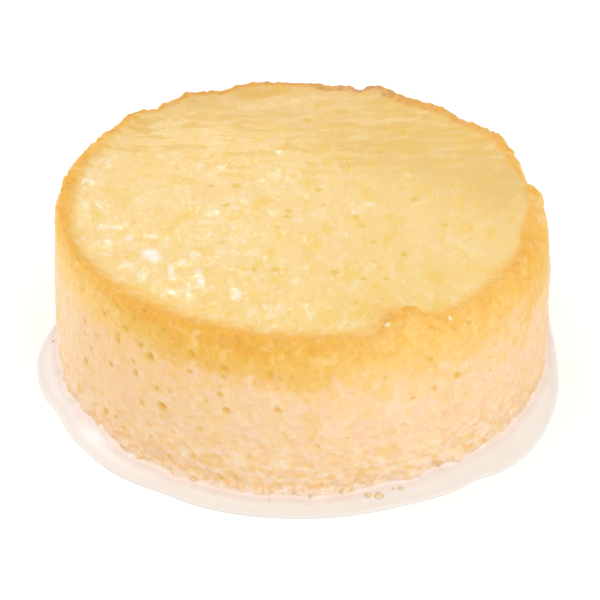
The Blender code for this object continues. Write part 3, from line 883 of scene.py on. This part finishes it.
def paintMilk():
    material, kit, shader = newMaterial("seepedMilk")
    fit, mix = kit.fit, kit.mix
    fine = kit.speckle(2.2 * mm)
    footGap, shoreGap = kit.read("footGap"), kit.read("shoreGap")
    away = kit.vector("DISTANCE", kit.place, milk["creamySpotAndHighlight"])
    base = kit.ramp(kit.speckle(11.0 * mm), ((0.30, linear(236, 233, 230)), (0.70, linear(233, 230, 225))))
    # painted light: the pool whiter on the left, where the lamps light it less
    base = mix(fit(kit.spot["X"], -26.0 * mm, -46.0 * mm, 0.0, 0.8), base, linear(246, 241, 242))
    # froth at the front left, partly a painted highlight on the milk
    base = mix(fit(away, 6.0 * mm, 2.0 * mm), base, linear(254, 250, 250))
    base = mix(fit(shoreGap, 1.5, 0.10), base, linear(227, 219, 212))  # painted shade along the thin edge where it runs out
    warm = kit.times(fit(footGap, 2.6, 0.3, 0.0, 0.9), fit(away, 2.5 * mm, 6.0 * mm, 0.4, 1.0))
    base = mix(warm, base, linear(227, 207, 195))  # painted shade and warm reflected light by the sponge
    # painted light: lighter milk right at the foot lifts the shade in the crease
    base = mix(fit(footGap, 0.8, 0.1, 0.0, 0.6), base, linear(246, 226, 212))
    kit.fill(shader, {
        "Base Color": base, "Roughness": fit(fine, 0.3, 0.7, 0.10, 0.22, "LINEAR"), "IOR": 1.35,
        "Subsurface Weight": 0.2, "Subsurface Radius": (1.0, 0.9, 0.75), "Subsurface Scale": 0.5 * mm,
        "Normal": kit.bump(fine, 0.05 * mm, 0.35),
    })
    return material


print("pouring the milk")
pool = buildMilk(paintMilk())
print("milk:", len(pool.data.polygons), "faces")


looseCrumbs = {
    "seed": 21,
    "kinds": 5,
    "footCount": 45,
    "milkCount": 5,
    "least": 0.35 * mm,
    "most": 0.75 * mm,
    # those in the milk at the front: azimuth, radius, size in mm
    "placed": (
        (-68.8, 52.3, 0.75), (-70.4, 51.8, 0.55), (-74, 53.1, 0.95), (-76, 52.2, 0.75), (-77.9, 51.8, 0.55),
        (-62.5, 50.8, 0.85), (-142.1, 49.9, 0.7), (-136.4, 50.9, 0.8), (-96.8, 52.6, 0.45), (-53.9, 50.6, 0.8),
        (-40.8, 50.8, 0.75), (-112.5, 51.3, 0.72), (-147.1, 50.1, 0.72),
    ),
}


def crumbShapes():  # broken crumbs of a few dozen faces each
    shapes = []
    for number in range(looseCrumbs["kinds"]):
        mesh = bmesh.new()
        bmesh.ops.create_uvsphere(mesh, u_segments=8, v_segments=6, radius=1.0)
        # put in the same order each run
        mesh.faces.sort(key=lambda face: sum(v.index * 50.0 ** i for i, v in enumerate(face.verts)))
        for vertex in mesh.verts:
            swelling = noise.noise(vertex.co * 1.1 + Vector((number * 7.0, 0.0, 0.0)))
            notch = noise.noise(vertex.co * 2.6 + Vector((0.0, number * 5.0, 3.0)))
            vertex.co *= 1.0 + 0.6 * swelling + 0.30 * notch
            vertex.co.z *= 0.5  # they lie flat
        data = bpy.data.meshes.new("crumbShape%d" % number)
        mesh.to_mesh(data)
        mesh.free()
        shapes.append(bpy.data.objects.new(data.name, data))
    return shapes


def crumbPlaces():
    draw = random.Random(looseCrumbs["seed"])
    least, most, level = looseCrumbs["least"], looseCrumbs["most"], milk["level"]
    points = [onRing(azimuth, radius * mm, level) for azimuth, radius, size in looseCrumbs["placed"]]
    sizes = [size * mm for azimuth, radius, size in looseCrumbs["placed"]]
    for i in range(looseCrumbs["footCount"]):  # half sunk in the foot
        azimuth = draw.uniform(0.0, 360.0)
        sizes.append(least + (most - least) * draw.random() ** 1.4)
        height = level + draw.uniform(0.1, 1.2) * mm
        points.append(onRing(azimuth, footRadius(azimuth) + draw.uniform(-0.8, -0.4) * sizes[-1], height))
    for i in range(looseCrumbs["milkCount"]):
        azimuth = draw.uniform(0.0, 360.0)
        sizes.append(least * draw.uniform(0.6, 1.1))
        foot, edge = footRadius(azimuth), shoreAt(azimuth)
        radius = foot + 0.4 * mm + max(edge - foot - 2.6 * mm, 0.0) * draw.random() ** 1.8
        points.append(onRing(azimuth, radius, level))
    return points, sizes


def buildCrumbs(material):
    points, sizes = crumbPlaces()
    piece = placeMesh("looseCrumbs", points, [])
    storeValues(piece, size=sizes)
    values = {"Seed": looseCrumbs["seed"], "Size": 1.0}
    kit, given = newTree("scatterCrumbs", values)
    group = bpy.data.collections.new("crumbShapes")
    shapes = crumbShapes()
    for shape in shapes:
        group.objects.link(shape)
    dots = kit.add("GeometryNodeMeshToPoints", {"Mesh": given["Geometry"]}).outputs[0]
    pick = kit.add("GeometryNodeCollectionInfo", {
        "Collection": group, "Separate Children": True, "Reset Children": True,
    }).outputs[0]
    turn = kit.add("FunctionNodeRandomValue", {0: (-0.3, -0.3, 0.0), 1: (0.3, 0.3, 6.28), "Seed": given["Seed"]},
                   data_type="FLOAT_VECTOR").outputs[0]
    placed = kit.add("GeometryNodeInstanceOnPoints", {
        "Points": dots, "Instance": pick, "Pick Instance": True,
        "Rotation": kit.add("FunctionNodeEulerToRotation", {0: turn}).outputs[0],
        "Scale": kit.times(kit.read("size"), given["Size"]),
    }).outputs[0]
    runTree(piece, closeTree(kit, placed, material), values)
    for shape in shapes:
        bpy.data.objects.remove(shape)
    bpy.data.collections.remove(group)
    for vertex in piece.data.vertices:  # none sinks through the floor
        vertex.co.z = max(vertex.co.z, 0.0)
    return piece


def paintCrumbs():
    material, kit, shader = newMaterial("looseCrumb")
    fine = kit.speckle(0.4 * mm, 3.0)
    stops = ((0.36, seenAs(250, 206, 138)), (0.50, seenAs(253, 216, 160)), (0.64, seenAs(255, 228, 190)))
    kit.fill(shader, {
        "Base Color": kit.ramp(kit.speckle(2.4 * mm), stops, "EASE"),
        "Roughness": kit.fit(fine, 0.3, 0.7, 0.45, 0.70, "LINEAR"),
        "Subsurface Weight": 0.6, "Subsurface Radius": (1.0, 0.7, 0.4), "Subsurface Scale": 0.8 * mm,
        "Normal": kit.bump(fine, 0.1 * mm, 0.8),
    })
    return material


print("scattering crumbs")
crumbsPiece = buildCrumbs(paintCrumbs())
print("crumbs:", len(crumbsPiece.data.polygons), "faces")


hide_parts("sponge_cake")
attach(body, "root")
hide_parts("milk_pool")
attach(pool, "root")
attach(crumbsPiece, "root")


studio = {
    "cameraPlace": (0.0, -0.372096, 0.270821),
    "cameraAim": (-0.00045, -0.003259, 0.012958),
    "lens": 131.87,
    "skyStrength": 0.99,
    "floorCorners": [(-3, -3, 0), (3, -3, 0), (3, 3, 0), (-3, 3, 0)],
    "floorDrop": 0.05 * mm,  # it lies just under the milk
    # name, place, aim, width, power
    "softboxes": (
        ("backSoftbox", (-0.028, 0.205, 0.200), (-0.022, -0.014, 0.034), 0.026, 0.035),
        ("leftSoftbox", (-0.52, 0.20, 0.28), (-0.04, 0.0, 0.02), 0.40, 0.80),
        ("frontSoftbox", (0.30, -0.39, 0.44), (0.0, -0.03, 0.02), 0.40, 1.02),
    ),
}


def setUp(name, data, place, aim):  # a lamp or the camera, turned to what it looks at
    thing = bpy.data.objects.new(name, data)
    thing.location = place
    thing.rotation_euler = (Vector(aim) - thing.location).to_track_quat("-Z", "Y").to_euler()
    bpy.context.scene.collection.objects.link(thing)
    return thing


def buildStudio():
    floor = placeMesh("studioFloor", studio["floorCorners"], [(0, 1, 2, 3)])
    floor.location.z = -studio["floorDrop"]
    material, kit, shader = newMaterial("paleFloor")
    kit.fill(shader, {"Base Color": (0.98, 0.98, 0.98, 1.0), "Roughness": 0.9})
    floor.data.materials.append(material)

    world = bpy.data.worlds.new("studioSky")
    world.use_nodes = True
    sky = world.node_tree.nodes["Background"].inputs
    sky["Color"].default_value = (1.0, 1.0, 1.0, 1.0)
    sky["Strength"].default_value = studio["skyStrength"]
    bpy.context.scene.world = world

    for name, place, aim, width, power in studio["softboxes"]:
        lamp = bpy.data.lights.new(name, "AREA")
        lamp.shape = "SQUARE"
        lamp.size = width
        lamp.energy = power
        setUp(name, lamp, place, aim)

    camera = bpy.data.cameras.new("photoCamera")
    camera.lens = studio["lens"]
    camera.sensor_width = 36.0
    camera.clip_start = 0.01
    bpy.context.scene.camera = setUp("photoCamera", camera, studio["cameraPlace"], studio["cameraAim"])
    bpy.context.scene.view_settings.view_transform = "Standard"


print("lighting the studio")
buildStudio()
